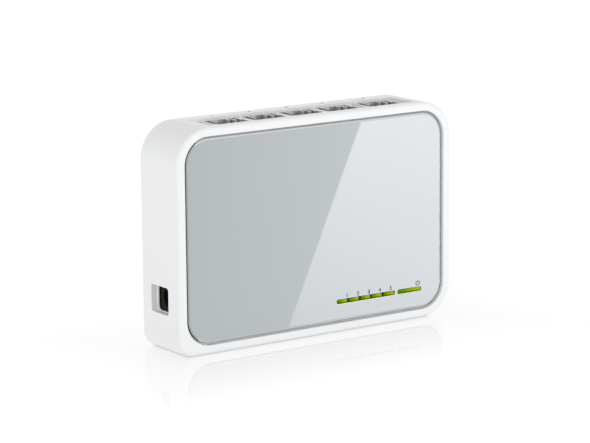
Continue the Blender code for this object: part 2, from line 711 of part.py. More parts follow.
front_housing()
face_panel()
back_cover()
rating_label()
feet()
case_screws()
circuit_board()
jack_housing("four_port_jack", PORTS[:4])
jack_housing("fifth_port_jack", PORTS[4:])
port_contacts()
power_socket()
power_pin()
power_spring()
lights()
switch_chip()
port_transformers()
clock_crystal()
capacitors()
power_parts()
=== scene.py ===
"""Looks for a five-port desktop network switch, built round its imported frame.

Metres, +Z up. The face panel looks towards -Y, the port sockets open upwards and the
power socket opens towards -X. Sizes are in millimetres times MM.
"""

import math

import bmesh
import bpy
from mathutils import Matrix, Vector


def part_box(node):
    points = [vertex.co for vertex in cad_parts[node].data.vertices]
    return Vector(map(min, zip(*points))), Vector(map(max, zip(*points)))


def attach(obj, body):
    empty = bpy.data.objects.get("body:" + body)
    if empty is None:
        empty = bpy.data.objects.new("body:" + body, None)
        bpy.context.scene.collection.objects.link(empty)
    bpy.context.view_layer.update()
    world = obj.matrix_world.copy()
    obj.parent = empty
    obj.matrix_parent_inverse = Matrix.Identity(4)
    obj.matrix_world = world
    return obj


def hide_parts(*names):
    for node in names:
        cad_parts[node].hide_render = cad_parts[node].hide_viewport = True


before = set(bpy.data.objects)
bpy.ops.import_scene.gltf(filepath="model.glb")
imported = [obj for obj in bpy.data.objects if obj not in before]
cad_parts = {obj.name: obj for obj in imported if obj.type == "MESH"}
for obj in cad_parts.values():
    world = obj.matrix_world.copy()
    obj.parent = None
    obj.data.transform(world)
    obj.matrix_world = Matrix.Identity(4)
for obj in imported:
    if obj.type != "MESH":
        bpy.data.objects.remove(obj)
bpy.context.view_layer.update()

MM = 0.001
PORT_COUNT = 5
BODY = "switch_body"
ROUND_STEPS = 24
SMALL_STEPS = 6
BEYOND = 1.0 * MM  # how far a cutting tool reaches past a surface
JOG = 0.01 * MM  # the least step between two layers

# Housing: its box comes from the frame, the rest is its wall section.
CASE_LOW, CASE_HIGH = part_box("front_housing")
CASE_CORNER = 11.2 * MM
HEEL_CORNER = 5.0 * MM
CASE_EDGE = 1.0 * MM
WALL = 2.0 * MM
RIM_WIDTH = 2.75 * MM
RIM_BEVEL = 0.22 * MM
WEB_FRONT = -9.1 * MM
WEB_BACK = -8.0 * MM
FIT_GAP = 0.3 * MM
CUT_EDGE = 0.16 * MM
MIDDLE_Z = (CASE_LOW.z + CASE_HIGH.z) / 2
WINDOW_MARGIN = (1.0 * MM, 0.7 * MM)
WINDOW_CORNER = 0.5 * MM

# Port bay.
BAY_LOW = (-37.6 * MM, -7.8 * MM)
BAY_HIGH = (39.6 * MM, 4.9 * MM)
BAY_CORNER = 0.6 * MM
BAY_FLOOR_TOP = 67.7 * MM
BAY_FLOOR = 1.1 * MM
RIB = (0.85 * MM, 0.7 * MM)

# Sockets: their mouth, the wells beside the latch (in millimetres from a socket's middle), and
# the pocket that the wires bend into.
SOCKET_WIDTH = 11.9 * MM
SOCKET_FRONT = -6.0 * MM
SOCKET_BACK = 0.6 * MM
SOCKET_DEPTH = 15.2 * MM
LATCH_STEPS = ((6.2 * MM, 2.1 * MM), (3.4 * MM, 3.6 * MM))
JACK_EDGE = 0.12 * MM
JACK_SKIN = 0.1 * MM
WELL_SIDES = ((-5.9, -4.0), (-3.15, -2.45), (-1.7, 1.7), (2.45, 3.15), (4.0, 5.3))
WELL_FRONT = 0.4 * MM
WELL_BACK = 4.3 * MM
WELL_DEPTH = 2.2 * MM
POCKET_WIDTH = 9.2 * MM
POCKET_FRONT = -6.95 * MM
POCKET_DEPTH = 14.0 * MM
POCKET_LIP = 0.9 * MM
POCKET_ROOF = 1.6 * MM
GROOVE = (0.6 * MM, 0.2 * MM)

# Contact wires.
WIRE_COUNT = 8
WIRE_PITCH = 1.02 * MM
WIRE_WIDTH = 0.45 * MM
WIRE_THICKNESS = 0.32 * MM
WIRE_BAR = 0.6 * MM
WIRE_HINGE_Y = -6.35 * MM
WIRE_TOP_DROP = 0.35 * MM
WIRE_TIP = (0.2 * MM, 0.1 * MM)
WIRE_BOW = 0.18 * MM
WIRE_STEPS = 8
WIRE_EDGE = 0.05 * MM

# Power opening and socket.
POWER_CENTRE = (0.2 * MM, 16.5 * MM)
POWER_OPENING = (9.7 * MM, 8.5 * MM)
POWER_CORNER = 1.0 * MM
POWER_DEPTH = 2.1 * MM
POWER_PAD = (13.0 * MM, 13.0 * MM)
POWER_PAD_BACK = -49.2 * MM
POWER_LIP = (8.3 * MM, 8.0 * MM)
POWER_LIP_CORNER = 1.4 * MM
POWER_BORE = 3.1 * MM
POWER_BORE_DEPTH = 9.5 * MM
POWER_MOUTH = 3.6 * MM
POWER_FLARE = 0.5 * MM
POWER_EDGE = 0.15 * MM
PIN_HOLE_START = 2.0 * MM
PIN_POINT = (0.15, 0.8)
LEAF_SLOT_START = 1.9 * MM
LEAF_SLOT_TOP = 0.6
LEAF_THICKNESS = 0.3 * MM
LEAF_SPARE = 0.18 * MM
LEAF_STEPS = 16
LEAF_CREST = 0.78
LEAF_DIP = 0.55
LEAF_EDGE = 0.04 * MM
LEAF_INSET = 0.05 * MM

# Cover, screws, posts and feet, as places in X and Z.
SCREWS = [(-44.5 * MM, MIDDLE_Z), (44.5 * MM, MIDDLE_Z)]
POSTS = [(x * MM, z * MM) for x in (-44.5, 44.5) for z in (8.5, 61.0)]
FEET = [(x * MM, z * MM) for x in (-41.0, 41.0) for z in (12.0, 58.0)]
POST_KINDS = (("boss", SCREWS, 3.5 * MM, 2.3 * MM), ("post", POSTS, 2.5 * MM, 1.5 * MM))
PILOT = (1.3 * MM, 10.0 * MM)
COVER_EDGE = 0.25 * MM
COVER_TURN = 0.07 * MM
RECESS_EDGE = 0.12 * MM
VENTS = 9
VENT_PITCH = 5.0 * MM
VENT_SIZE = (2.0 * MM, 20.0 * MM)
VENT_Z = 49.0 * MM
VENT_STEPS = 8
HEAD_FLOOR = 8.9 * MM
HEAD_RADIUS = 2.6 * MM
HEAD_HEIGHT = 0.8 * MM
HEAD_DOME = 0.45
HEAD_EDGE = 0.03 * MM
SHANK_RADIUS = 1.0 * MM
SHANK_POINT = 0.3
CROSS_ARM = 1.35 * MM
CROSS_HALF_WIDTH = 0.28 * MM
CROSS_DEPTH = 0.6 * MM
FOOT_FLOOR = 9.1 * MM
FOOT_RADIUS = 4.5 * MM
FOOT_EDGE = 0.5 * MM
FOOT_DISH = (1.6 * MM, 1.75 * MM, 0.12 * MM)
LABEL_FLOOR = 9.4 * MM
LABEL_CORNERS = (0.8 * MM, 1.3 * MM)
LABEL_SUNK = 0.02 * MM
LABEL_EDGE = 0.04 * MM
LABEL_RULINGS = (("X", 0.003, (0.03, 0.62, 0.97)), ("Z", 0.007, (0.07, 0.36, 0.64, 0.93)))

# Face panel: how far its slanted edge reaches in and back, and its light slots.
PANEL_CHAMFER = (0.75 * MM, 0.28 * MM)
PANEL_SHOULDER = 0.26 * MM
PANEL_NICK = 0.05 * MM
PANEL_BACK_EDGE = 0.1 * MM
SLOTS = (("link_light_guide_1", "link_light_guide_5"), ("power_light_guide", "power_light_guide"))
SLOT_CLEARANCE = 0.12 * MM
LENS_EDGE = 0.22 * MM

# Prints: a thin layer of ink that stands just proud of the plastic.
INK = 0.015 * MM
OUTLINE_WIDTH = 0.34 * MM
OUTLINE_START = 0.02 * MM
OUTLINE_DEPTH = 0.2 * MM
NUMERAL_SIZE = 1.75 * MM
NUMERAL_PLACE = (1.9 * MM, 0.45 * MM)
NUMERAL_PITCH = 4.28 * MM
NUMERAL_WEIGHT = 0.03
PORT_NUMERAL_SIZE = 1.9 * MM
PORT_NUMERAL_PLACE = (-1.1 * MM, 7.9 * MM)
MARK_PLACE = (-1.5 * MM, 1.3 * MM)
MARK_RADIUS = 0.88 * MM
MARK_WIDTH = 0.3 * MM
MARK_OPENING = 38
MARK_BAR_START = 0.1 * MM
SAME_POINT = 0.0001 * MM

# Camera: it looks at a point on the panel.
AIM = Vector((-8.6, -10.3, 37.3)) * MM
DISTANCE = 827.6 * MM
AZIMUTH = math.radians(-34.77)
ELEVATION = math.radians(11.25)
ROLL = math.radians(0.49)
LENS = 163.26

# Floor: its shine fades with distance from the case, and it darkens where the case meets it.
FLOOR_HALF = 4.0
FLOOR_SHINE = 0.30
FLOOR_ROUGHNESS = 0.03
SHINE_REACH = 62.0 * MM
CONTACT_REACH = 0.6 * MM
CONTACT_SHADE = 0.36
FLOOR_BOUNCE = 0.92

# White all round.
SURROUND = 1.02
SKY_LEVEL = 1.24
SKY_FALL = 0.78
FRONT_GAIN = 0.32

# The soft screen stands front right, where the panel mirrors it. Its slanting edge is the edge
# of the sheen on the panel. Each part's brightness is given at its lower left, lower right,
# upper left and upper right.
SCREEN_DISTANCE = 200.0 * MM
SCREEN_MARGIN = 6.0 * MM
SHEEN_TOP = (17.0 * MM, 66.4 * MM)
SHEEN_BOTTOM = (-5.0 * MM, 18.0 * MM)
PLAIN_ROWS = (1.3, 3.2, 0.9, 3.6)
BRIGHT_ROWS = (3.2, 5.8, 7.6, 8.0)


# Outlines: lists of (u, v) points, counter-clockwise.


def rounded(low, high, radius, inset=0.0, steps=ROUND_STEPS, heel=None):
    """A rectangle with round corners, drawn in by the inset. Its lower left corner may differ."""
    radii = [radius, radius, radius if heel is None else heel, radius]
    points = []
    for corner, (side, end) in enumerate(((1, 1), (0, 1), (0, 0), (1, 0))):
        turn_radius = max(radii[corner] - inset, 2 * JOG)
        reach = inset + turn_radius
        u = high[0] - reach if side else low[0] + reach
        v = high[1] - reach if end else low[1] + reach
        for step in range(steps + 1):
            turn = math.radians(90) * (corner + step / steps)
            points.append((u + turn_radius * math.cos(turn), v + turn_radius * math.sin(turn)))
    return points


def rectangle(low, high):
    return [(low[0], low[1]), (high[0], low[1]), (high[0], high[1]), (low[0], high[1])]


def front_corners(low, high):
    """A box's lower and upper corners in X and Z."""
    return (low.x, low.z), (high.x, high.z)


def centred(size, centre):
    """Lower and upper corners of a rectangle round a centre."""
    low = (centre[0] - size[0] / 2, centre[1] - size[1] / 2)
    return low, (centre[0] + size[0] / 2, centre[1] + size[1] / 2)


def arc(centre, radius, turns):
    return [(centre[0] + radius * math.cos(turn), centre[1] + radius * math.sin(turn)) for turn in turns]


def circle(centre, radius, steps=48):
    return arc(centre, radius, [2 * math.pi * step / steps for step in range(steps)])


def quarter(steps=6):
    """Sines and cosines through a quarter turn."""
    turns = [math.radians(90 * step / steps) for step in range(steps + 1)]
    return [(math.sin(turn), math.cos(turn)) for turn in turns]


def capsule(low, high, round_low=True, round_high=True, steps=12):
    """A bar from one corner to the other, whose ends are half round or square."""
    radius = (high[1] - low[1]) / 2
    middle = (low[1] + high[1]) / 2
    points = []
    for end, is_round, side in ((high[0], round_high, 1), (low[0], round_low, -1)):
        if not is_round:
            points += [(end, middle - side * radius), (end, middle + side * radius)]
            continue
        for step in range(steps + 1):
            turn = math.radians(180 * step / steps - 90)
            u = end + side * radius * (math.cos(turn) - 1)
            points.append((u, middle + side * radius * math.sin(turn)))
    return points


# Solids.

SPOTS = {
    "x": lambda u, v, depth: (depth, u, v),
    "y": lambda u, v, depth: (u, depth, v),
    "z": lambda u, v, depth: (u, v, depth),
}


def put_in_scene(name, data):
    obj = bpy.data.objects.new(name, data)
    bpy.context.scene.collection.objects.link(obj)
    return obj


def new_object(name, solid, finish=None):
    bmesh.ops.recalc_face_normals(solid, faces=solid.faces)
    mesh = bpy.data.meshes.new(name)
    solid.to_mesh(mesh)
    solid.free()
    mesh.shade_smooth()
    obj = put_in_scene(name, mesh)
    if finish:
        mesh.materials.append(finish)
    return obj


def join_rings(solid, rings, round_again=False):
    """Joins rings of equal length; it closes both ends, or joins the last ring to the first."""
    following = rings[1:] + rings[:1] if round_again else rings[1:]
    for ring, after in zip(rings, following):
        for i in range(len(ring)):
            j = (i + 1) % len(ring)
            solid.faces.new((ring[i], ring[j], after[j], after[i]))
    if not round_again:
        solid.faces.new(rings[0])
        solid.faces.new(rings[-1])


def add_layers(solid, axis, layers, round_again=False):
    """Joins outlines with equal numbers of points, each at its own depth."""
    place = SPOTS[axis]
    rings = [[solid.verts.new(place(u, v, depth)) for u, v in outline] for outline, depth in layers]
    join_rings(solid, rings, round_again)


def layered(name, axis, layers, finish=None):
    solid = bmesh.new()
    add_layers(solid, axis, layers)
    return new_object(name, solid, finish)


def prisms(name, axis, outlines, low, high, finish=None):
    """Straight solids with the given outlines, in one mesh."""
    solid = bmesh.new()
    for outline in outlines:
        add_layers(solid, axis, [(outline, low), (outline, high)])
    return new_object(name, solid, finish)


def block(name, low, high, finish=None):
    return prisms(name, "z", [rectangle(low, high)], low[2], high[2], finish)


def turned(name, axis, centre, profile, finish=None, steps=48):
    """A round solid: (radius, depth) pairs from one end to the other."""
    return layered(name, axis, [(circle(centre, r, steps), depth) for r, depth in profile], finish)


def flat_face(name, corners, finish):
    solid = bmesh.new()
    solid.faces.new([solid.verts.new(corner) for corner in corners])
    return new_object(name, solid, finish)


def carve(target, operation, tool):
    change = target.modifiers.new(tool.name, "BOOLEAN")
    change.operation = operation
    change.solver = "EXACT"
    change.object = tool


def cut(target, tool):
    carve(target, "DIFFERENCE", tool)


def weld(target, tool):
    carve(target, "UNION", tool)


def final_mesh(obj):
    """The object's mesh with its modifiers applied."""
    graph = bpy.context.evaluated_depsgraph_get()
    graph.update()
    return bpy.data.meshes.new_from_object(obj.evaluated_get(graph), depsgraph=graph)


def settle(obj, edge=0.0, segments=2):
    """Applies the cuts, rounds the sharp edges, drops the tools and evens out the shading."""
    tools = [change.object for change in obj.modifiers if change.type == "BOOLEAN"]
    if edge:
        bevel = obj.modifiers.new("edges", "BEVEL")
        bevel.width = edge
        bevel.segments = segments
        bevel.limit_method = "ANGLE"
        bevel.angle_limit = math.radians(50)
    mesh = final_mesh(obj)
    obj.modifiers.clear()
    obj.data = mesh
    mesh.shade_smooth()
    mesh.set_sharp_from_angle(angle=math.radians(40))
    shading = obj.modifiers.new("even_shading", "WEIGHTED_NORMAL")
    shading.keep_sharp = True
    for tool in tools:
        bpy.data.objects.remove(tool, do_unlink=True)
    return obj


def fit(obj, body, slot, *nodes):
    """Puts a piece on its body, in place of its CAD nodes; its slot is not used."""
    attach(obj, body)
    if nodes:
        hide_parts(*nodes)


# Shader nodes.


def feed(tree, socket, value):
    """Gives a socket a number, a colour or another socket's value."""
    if isinstance(value, bpy.types.NodeSocket):
        tree.links.new(value, socket)
    elif socket.type == "RGBA":
        socket.default_value = (*value, 1.0)
    else:
        socket.default_value = value


def add_node(tree, kind, settings=None, **inputs):
    """A node with its settings, and its inputs by label, with _ for a space."""
    node = tree.nodes.new("ShaderNode" + kind)
    for name, value in (settings or {}).items():
        setattr(node, name, value)
    for label, value in inputs.items():
        feed(tree, node.inputs[label.replace("_", " ")], value)
    return node


def calculate(tree, operation, first, second=None, clamp=False):
    node = add_node(tree, "Math", {"operation": operation, "use_clamp": clamp})
    feed(tree, node.inputs[0], first)
    if second is not None:
        feed(tree, node.inputs[1], second)
    return node.outputs[0]


def plus(tree, first, second, clamp=False):
    return calculate(tree, "ADD", first, second, clamp)


def minus(tree, first, second):
    return calculate(tree, "SUBTRACT", first, second)


def times(tree, first, second, clamp=False):
    return calculate(tree, "MULTIPLY", first, second, clamp)


def sway(tree, value, amount):
    """Turns a value round one half into one round zero, and scales it."""
    return times(tree, minus(tree, value, 0.5), amount)


def mix(tree, kind, places, output):
    """A mix of numbers or colours, by input number."""
    node = add_node(tree, "Mix", {"data_type": kind})
    for place, value in places.items():
        feed(tree, node.inputs[place], value)
    return node.outputs[output]


def mix_colours(tree, factor, first, second):
    return mix(tree, "RGBA", {0: factor, 6: first, 7: second}, 2)


def scale_colour(tree, colour, factor):
    return add_node(tree, "VectorMath", {"operation": "SCALE"}, Vector=colour, Scale=factor).outputs[0]


def coordinates(tree, kind="Object"):
    return add_node(tree, "TexCoord").outputs[kind]


def position(tree, kind="Object"):
    """The X, Y and Z of the place on the object."""
    return add_node(tree, "SeparateXYZ", Vector=coordinates(tree, kind)).outputs


def noise(tree, scale, detail=3.0):
    """Noise over the object's own coordinates; the scale is per metre, or a socket."""
    texture = add_node(
        tree, "TexNoise", Vector=coordinates(tree), Scale=scale, Detail=detail, Roughness=0.55
    )
    return texture.outputs["Fac"]


# Shader node groups.

NUMBER = "NodeSocketFloat"
COLOUR = "NodeSocketColor"


def new_group(name, inputs, outputs):
    """An empty node group: its inputs with their start values, and its outputs with their kinds."""
    tree = bpy.data.node_groups.new(name, "ShaderNodeTree")
    for label, value in inputs.items():
        kind = COLOUR if isinstance(value, tuple) else NUMBER
        tree.interface.new_socket(label, in_out="INPUT", socket_type=kind).default_value = value
    for label, kind in outputs.items():
        tree.interface.new_socket(label, in_out="OUTPUT", socket_type=kind)
    return tree, tree.nodes.new("NodeGroupInput").outputs, tree.nodes.new("NodeGroupOutput").inputs


def build_grain_group():
    """Moulded surface: grain for the bump, and a roughness that varies with it."""
    inputs = {"Scale": 3000.0, "Roughness": 0.4, "Spread": 0.1}
    tree, given, result = new_group("moulded_grain", inputs, {"Roughness": NUMBER, "Height": NUMBER})
    fine = noise(tree, given["Scale"])
    both = plus(tree, times(tree, fine, 0.4), times(tree, noise(tree, 45.0, 2.0), 0.6))
    change = sway(tree, both, given["Spread"])
    feed(tree, result["Roughness"], plus(tree, given["Roughness"], change, clamp=True))
    feed(tree, result["Height"], fine)
    return tree


def build_tone_group():
    """A colour that drifts slightly lighter and darker over the piece."""
    inputs = {"Color": (0.8, 0.8, 0.8, 1.0), "Scale": 60.0, "Amount": 0.05}
    tree, given, result = new_group("tone_drift", inputs, {"Color": COLOUR})
    gain = plus(tree, sway(tree, noise(tree, given["Scale"], 2.0), given["Amount"]), 1.0)
    feed(tree, result["Color"], scale_colour(tree, given["Color"], gain))
    return tree


def build_dust_group():
    """Painted shade: where neighbouring surfaces close in, the colour leans towards the shade colour."""
    inputs = {
        "Color": (0.8, 0.8, 0.8, 1.0), "Dust": (0.4, 0.4, 0.38, 1.0), "Reach": 0.001, "Amount": 0.5,
    }
    tree, given, result = new_group("painted_corner_shade", inputs, {"Color": COLOUR})
    closeness = add_node(tree, "AmbientOcclusion", {"samples": 8}, Distance=given["Reach"])
    hidden = minus(tree, 1.0, closeness.outputs["AO"])
    factor = times(tree, hidden, given["Amount"], clamp=True)
    feed(tree, result["Color"], mix_colours(tree, factor, given["Color"], given["Dust"]))
    return tree


GRAIN = build_grain_group()
TONE = build_tone_group()
CORNER_SHADE = build_dust_group()


# Materials.


def place_group(tree, group, **values):
    return add_node(tree, "Group", {"node_tree": group}, **values).outputs


def tone(tree, colour, scale, amount):
    return place_group(tree, TONE, Color=colour, Scale=scale, Amount=amount)["Color"]


def new_material(name, **constants):
    """A material with a Principled shader and the shader's plain numbers."""
    made = bpy.data.materials.new(name)
    made.use_nodes = True
    tree = made.node_tree
    shader = tree.nodes["Principled BSDF"].inputs
    for label, value in constants.items():
        feed(tree, shader[label.replace("_", " ")], value)
    return made, tree, shader


def bare_material(name):
    """A material with no nodes yet."""
    made = bpy.data.materials.new(name)
    made.use_nodes = True
    made.node_tree.nodes.clear()
    return made, made.node_tree


def relief(tree, shader, height, strength, depth):
    bump = add_node(tree, "Bump", Strength=strength, Distance=depth, Height=height)
    feed(tree, shader["Normal"], bump.outputs["Normal"])


def grain(tree, shader, scale, roughness, spread, bump, depth=0.02 * MM):
    """Feeds the moulded grain to the shader's roughness and normal."""
    outputs = place_group(tree, GRAIN, Scale=scale, Roughness=roughness, Spread=spread)
    feed(tree, shader["Roughness"], outputs["Roughness"])
    relief(tree, shader, outputs["Height"], bump, depth)


def moulded(name, colour, scale, roughness, spread=0.1, bump=0.1, drift=0.04, corner_shade=None, **constants):
    """Moulded plastic, rubber or epoxy: a drifting tone, painted shade in corners, and grain."""
    made, tree, shader = new_material(name, **constants)
    shade = tone(tree, colour, 60.0, drift)
    if corner_shade:
        shade_colour, reach, amount = corner_shade
        shade = place_group(tree, CORNER_SHADE, Color=shade, Dust=shade_colour, Reach=reach, Amount=amount)["Color"]
    feed(tree, shader["Base Color"], shade)
    grain(tree, shader, scale, roughness, spread, bump)
    return made


def brushed_metal(name, colour, roughness, stretch):
    """Metal with fine drawn lines along one direction."""
    made, tree, shader = new_material(name, Metallic=1.0)
    squeeze = add_node(tree, "Mapping", Vector=coordinates(tree), Scale=stretch)
    lines = add_node(tree, "TexNoise", Vector=squeeze.outputs["Vector"], Scale=1.0, Detail=4.0)
    feed(tree, shader["Base Color"], tone(tree, colour, 400.0, 0.2))
    swing = sway(tree, lines.outputs["Fac"], 0.25)
    feed(tree, shader["Roughness"], plus(tree, swing, roughness, clamp=True))
    relief(tree, shader, lines.outputs["Fac"], 0.15, 0.01 * MM)
    return made


def lit_lens(name, stops):
    """A clear green light guide: the glow runs along it, weaker at its lower edge."""
    made, tree, shader = new_material(name, IOR=1.4, Specular_IOR_Level=0.0, Emission_Strength=0.55)
    place = position(tree, "Generated")
    streak = sway(tree, noise(tree, 1100.0, 2.0), 0.35)
    ramp = add_node(tree, "ValToRGB", Fac=plus(tree, place["X"], streak, clamp=True))
    elements = ramp.color_ramp.elements
    for i, (along, colour) in enumerate(stops):
        stop = elements[i] if i < 2 else elements.new(along)
        stop.position = along
        stop.color = (*colour, 1.0)
    low = add_node(
        tree, "MapRange", {"interpolation_type": "SMOOTHSTEP"},
        Value=place["Z"], From_Min=0.0, From_Max=0.45, To_Min=0.35, To_Max=1.0,
    )
    glow = scale_colour(tree, ramp.outputs["Color"], low.outputs["Result"])
    feed(tree, shader["Base Color"], glow)
    feed(tree, shader["Emission Color"], glow)
    grain(tree, shader, 900.0, 0.22, 0.1, 0.05)
    return made


def board_laminate():
    """Green solder mask over copper: straight traces, plated holes and bare laminate tone."""
    made, tree, shader = new_material("board_laminate", IOR=1.5)
    upright = (math.radians(90), 0.0, 0.0)
    flat = add_node(tree, "Mapping", Vector=coordinates(tree), Rotation=upright).outputs["Vector"]
    traces = add_node(tree, "TexBrick", Vector=flat, Scale=420.0, Mortar_Size=0.035, Mortar_Smooth=0.2)
    vias = add_node(tree, "TexVoronoi", Vector=flat, Scale=260.0)
    hole = calculate(tree, "LESS_THAN", vias.outputs["Distance"], 0.09)
    mask = tone(tree, (0.012, 0.15, 0.06), 90.0, 0.25)
    with_traces = mix_colours(tree, traces.outputs["Fac"], mask, (0.03, 0.26, 0.11))
    feed(tree, shader["Base Color"], mix_colours(tree, hole, with_traces, (0.62, 0.52, 0.3)))
    grain(tree, shader, 1500.0, 0.35, 0.15, 0.1)
    return made


def printed_label():
    """A blank silver-grey film with a printed border and empty ruled boxes."""
    made, tree, shader = new_material("label_film")
    place = position(tree, "Generated")
    inked = 0.0
    for side, width, marks in LABEL_RULINGS:
        for mark in marks:
            offset = calculate(tree, "ABSOLUTE", minus(tree, place[side], mark))
            inked = calculate(tree, "MAXIMUM", inked, calculate(tree, "LESS_THAN", offset, width))
    for side, width, marks in LABEL_RULINGS:
        inked = times(tree, inked, calculate(tree, "GREATER_THAN", place[side], marks[0] - width))
        inked = times(tree, inked, calculate(tree, "LESS_THAN", place[side], marks[-1] + width))
    film = tone(tree, (0.72, 0.73, 0.735), 120.0, 0.06)
    feed(tree, shader["Base Color"], mix_colours(tree, inked, film, (0.16, 0.17, 0.18)))
    grain(tree, shader, 2500.0, 0.42, 0.12, 0.08, 0.01 * MM)
    return made


def panel_edge(name, colour, roughness, ior):
    return moulded(name, colour, 1400.0, roughness, spread=0.05, bump=0.02, drift=0.05, IOR=ior)


def ink(name, colour):
    return moulded(name, colour, 5000.0, 0.5, bump=0.05, drift=0.1)


# Painted shade: the case's corners and recesses lean towards a bluish grey.
CASE_WHITE = moulded(
    "satin_white_case", (0.885, 0.892, 0.90), 2600.0, 0.36, spread=0.12, drift=0.012,
    corner_shade=((0.50, 0.505, 0.54), 1.4 * MM, 0.3), IOR=1.5,
)
PANEL_GREY = moulded(
    "gloss_grey_panel", (0.43, 0.462, 0.482), 1400.0, 0.022, 0.01, 0.01, drift=0.012, IOR=1.52
)

# The edge's clear tone, a pale painted highlight for the slanted facets, and painted shade for the side
# facets that face left.
CLEAR_EDGE = panel_edge("clear_panel_edge", (0.41, 0.43, 0.39), 0.12, 1.5)
PANEL_EDGE_HIGHLIGHT = panel_edge("painted_highlight_panel_edge", (0.66, 0.69, 0.71), 0.1, 1.5)
SHADED_EDGE = panel_edge("shaded_panel_edge", (0.07, 0.075, 0.06), 0.2, 1.4)
# Two copies of the jack grey: the light one for the top, and a darker one with strong painted shade for the
# faces down inside the sockets. Both get painted shade in their corners.
JACK_GREY = moulded(
    "moulded_jack_grey", (0.78, 0.78, 0.775), 3200.0, 0.42, spread=0.12, drift=0.05,
    corner_shade=((0.3, 0.3, 0.3), 1.2 * MM, 0.3),
)
JACK_SHADED = moulded(
    "shaded_jack_grey", (0.50, 0.50, 0.505), 3200.0, 0.5, spread=0.12, drift=0.2,
    corner_shade=((0.05, 0.05, 0.05), 3.0 * MM, 0.9),
)
INLET_BLACK = moulded(
    "moulded_inlet_black", (0.009, 0.011, 0.007), 2600.0, 0.5, 0.15, 0.12, drift=0.3, IOR=1.3
)
EPOXY_BLACK = moulded("moulded_epoxy_black", (0.022, 0.022, 0.025), 4200.0, 0.5, 0.15, 0.3, drift=0.2)
RUBBER_GREY = moulded("soft_rubber_grey", (0.085, 0.085, 0.088), 2200.0, 0.72, 0.15, 0.35, drift=0.15)
CLEAR_DIODE = moulded("clear_diode_epoxy", (0.70, 0.78, 0.42), 1500.0, 0.2, bump=0.05, drift=0.1, IOR=1.5)
GOLD = brushed_metal("gold_flashed_wire", (0.86, 0.63, 0.28), 0.22, (6000.0, 6000.0, 300.0))
STEEL = brushed_metal("plated_steel", (0.60, 0.61, 0.62), 0.28, (300.0, 300.0, 6000.0))
# Each lens's two ends come first, then the colours between them.
LINK_GLOW = lit_lens("lit_link_lens", (
    (0.0, (0.012, 0.045, 0.0)), (1.0, (0.05, 0.09, 0.0)), (0.08, (0.07, 0.16, 0.0)),
    (0.34, (0.10, 0.20, 0.0)), (0.60, (0.22, 0.28, 0.0)), (0.90, (0.26, 0.30, 0.0)),
))
POWER_GLOW = lit_lens("lit_power_lens", (
    (0.0, (0.06, 0.15, 0.0)), (1.0, (0.26, 0.31, 0.0)),
    (0.35, (0.11, 0.21, 0.0)), (0.85, (0.27, 0.33, 0.0)),
))
BOARD_GREEN = board_laminate()
LABEL_FILM = printed_label()
PALE_INK = ink("pale_outline_ink", (0.80, 0.82, 0.93))
GREY_INK = ink("grey_numeral_ink", (0.045, 0.045, 0.07))
DARK_INK = ink("dark_numeral_ink", (0.012, 0.012, 0.018))


# The enclosure.


def case_section():
    """The wall from the inner floor, round the back edge and the front rim, to the recess floor."""
    front, back = CASE_LOW.y, CASE_HIGH.y
    edge, bevel = CASE_EDGE, RIM_BEVEL
    section = [(WALL, WEB_BACK), (WALL, back - bevel), (WALL - bevel, back)]
    section += [(edge - edge * s, back - edge + edge * c) for s, c in quarter()]
    section += [(edge - edge * c, front + edge - edge * s) for s, c in quarter()]
    section += [(RIM_WIDTH - bevel + bevel * s, front + bevel - bevel * c) for s, c in quarter(3)]
    return section + [(RIM_WIDTH, WEB_FRONT)]


def case_posts(case):
    """Screw bosses and board posts, stepped where the board rests on them."""
    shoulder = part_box("circuit_board")[0].y - FIT_GAP
    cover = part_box("back_cover")[0].y
    for kind, places, radius, neck in POST_KINDS:
        profile = [
            (radius, WEB_BACK - FIT_GAP), (radius, shoulder), (neck, shoulder + JOG), (neck, cover - FIT_GAP),
        ]
        for i, place in enumerate(places):
            weld(case, turned(f"{kind}_{i}", "y", place, profile))
    radius, depth = PILOT
    top = cover + FIT_GAP
    for i, place in enumerate(SCREWS):
        cut(case, turned(f"pilot_{i}", "y", place, [(radius, top - depth), (radius, top)]))


def port_bay(case):
    """The bay's floor beside the jacks, the bay itself and a rib at each socket's left edge."""
    four_low, four_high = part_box("four_port_jack")
    fifth_low, fifth_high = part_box("fifth_port_jack")
    far_wall = BAY_HIGH[1] + WALL / 2
    for name, left, right in (
        ("floor_at_start", BAY_LOW[0] - WALL, four_low.x - FIT_GAP),
        ("floor_between_jacks", four_high.x + FIT_GAP, fifth_low.x - FIT_GAP),
        ("floor_at_end", fifth_high.x + FIT_GAP, BAY_HIGH[0] + WALL),
    ):
        low_corner = (left, WEB_BACK - FIT_GAP, BAY_FLOOR_TOP - BAY_FLOOR)
        weld(case, block(name, low_corner, (right, far_wall, CASE_HIGH.z - WALL / 2)))
    bay = rounded(BAY_LOW, BAY_HIGH, BAY_CORNER, steps=SMALL_STEPS)
    cut(case, prisms("port_bay", "z", [bay], BAY_FLOOR_TOP, CASE_HIGH.z + BEYOND))
    for i, x in enumerate(port_centres()):
        edge = x - SOCKET_WIDTH / 2
        low_corner = (edge - RIB[0], BAY_HIGH[1] - RIB[1], BAY_FLOOR_TOP - BAY_FLOOR / 2)
        weld(case, block(f"bay_rib_{i}", low_corner, (edge, far_wall, CASE_HIGH.z - FIT_GAP)))


